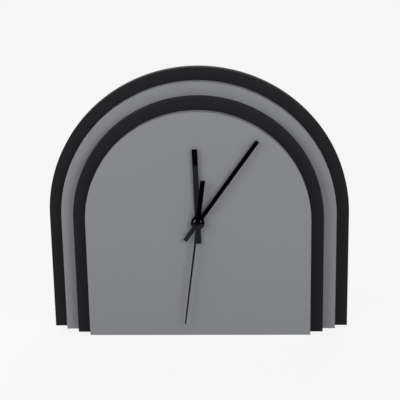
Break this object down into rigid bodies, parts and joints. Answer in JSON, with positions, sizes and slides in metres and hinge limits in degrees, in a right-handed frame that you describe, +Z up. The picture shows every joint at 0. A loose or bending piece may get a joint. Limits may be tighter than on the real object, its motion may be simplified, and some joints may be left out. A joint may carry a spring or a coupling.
{
  "type": "arched table clock",
  "caption": "Battery table clock of nested arched boards in grey and black, with a plain dial and three straight black hands.",
  "frame": {"origin": "middle of the base, halfway through the depth of the board stack", "axes": "+X to the viewer's right, +Y from the dial to the back, +Z up"},
  "size_m": [0.2, 0.0266, 0.18],
  "materials": {
    "grey_paint": "smooth matte grey paint on fibreboard",
    "black_paint": "smooth matte black paint on fibreboard",
    "black_hand": "satin black lacquer",
    "case_plastic": "finely textured black moulding",
    "wheel_plastic": "plain ivory moulding",
    "brass": "plain",
    "steel": "plain",
    "magnet": "sintered",
    "copper": "enamelled copper wire",
    "circuit": "lacquered laminate",
    "resin": "cast resin",
    "foam": "white closed-cell foam",
    "battery_sleeve": "plain plastic sleeve on a steel can"
  },
  "bodies": {
    "clock_case": {"front_dial_panel": "grey_paint", "inner_black_panel": "black_paint", "middle_grey_panel": "grey_paint", "outer_black_panel": "black_paint", "mounting_pad": "foam", "movement_case": "case_plastic", "bearing_plate": "wheel_plastic", "movement_cover": "case_plastic", "positive_contact": "steel", "negative_contact": "steel", "stator": "steel", "coil_core": "steel", "coil_bobbin": "wheel_plastic", "coil_winding": "copper", "circuit_board": "circuit", "chip": "resin", "quartz_crystal": "steel"},
    "battery": {"battery": "battery_sleeve"},
    "rotor": {"rotor_pinion": "wheel_plastic", "rotor_magnet": "magnet"},
    "step_wheel": {"step_wheel": "wheel_plastic"},
    "seconds_train": {"seconds_wheel": "wheel_plastic", "seconds_arbor": "steel", "second_hand": "black_hand"},
    "third_wheel": {"third_wheel": "wheel_plastic"},
    "minute_train": {"centre_wheel": "brass", "minute_tube": "wheel_plastic", "minute_hand": "black_hand"},
    "setting_train": {"minute_wheel": "wheel_plastic", "setting_knob": "case_plastic"},
    "hour_train": {"hour_wheel": "wheel_plastic", "hour_hand": "black_hand"}
  },
  "joints": [
    {"name": "second_hand_turn", "type": "hinge", "parent": "clock_case", "child": "seconds_train", "pos_m": [0, 0, 0.0803], "axis": [0, 1, 0], "continuous": true},
    {"name": "minute_hand_turn", "type": "hinge", "parent": "clock_case", "child": "minute_train", "pos_m": [0, 0, 0.0803], "axis": [0, 1, 0], "continuous": true},
    {"name": "hour_hand_turn", "type": "hinge", "parent": "clock_case", "child": "hour_train", "pos_m": [0, 0, 0.0803], "axis": [0, 1, 0], "continuous": true},
    {"name": "third_wheel_turn", "type": "hinge", "parent": "clock_case", "child": "third_wheel", "pos_m": [-0.00985, 0, 0.08294], "axis": [0, 1, 0], "continuous": true},
    {"name": "step_wheel_turn", "type": "hinge", "parent": "clock_case", "child": "step_wheel", "pos_m": [-0.00073, 0, 0.08867], "axis": [0, 1, 0], "continuous": true},
    {"name": "rotor_turn", "type": "hinge", "parent": "clock_case", "child": "rotor", "pos_m": [0.00221, 0, 0.09376], "axis": [0, 1, 0], "continuous": true},
    {"name": "setting_knob_turn", "type": "hinge", "parent": "clock_case", "child": "setting_train", "pos_m": [0.01042, 0, 0.08516], "axis": [0, 1, 0], "continuous": true},
    {"name": "battery_slide", "type": "slide", "parent": "clock_case", "child": "battery", "axis": [0, 1, 0], "range_m": [0, 0.02]}
  ],
  "couplings": [
    {"joint": "minute_hand_turn", "follows": "second_hand_turn", "ratio": 0.016667},
    {"joint": "hour_hand_turn", "follows": "second_hand_turn", "ratio": 0.0013889},
    {"joint": "third_wheel_turn", "follows": "second_hand_turn", "ratio": -0.13333},
    {"joint": "step_wheel_turn", "follows": "second_hand_turn", "ratio": -5},
    {"joint": "rotor_turn", "follows": "second_hand_turn", "ratio": 30},
    {"joint": "setting_knob_turn", "follows": "second_hand_turn", "ratio": -0.0041667}
  ]
}
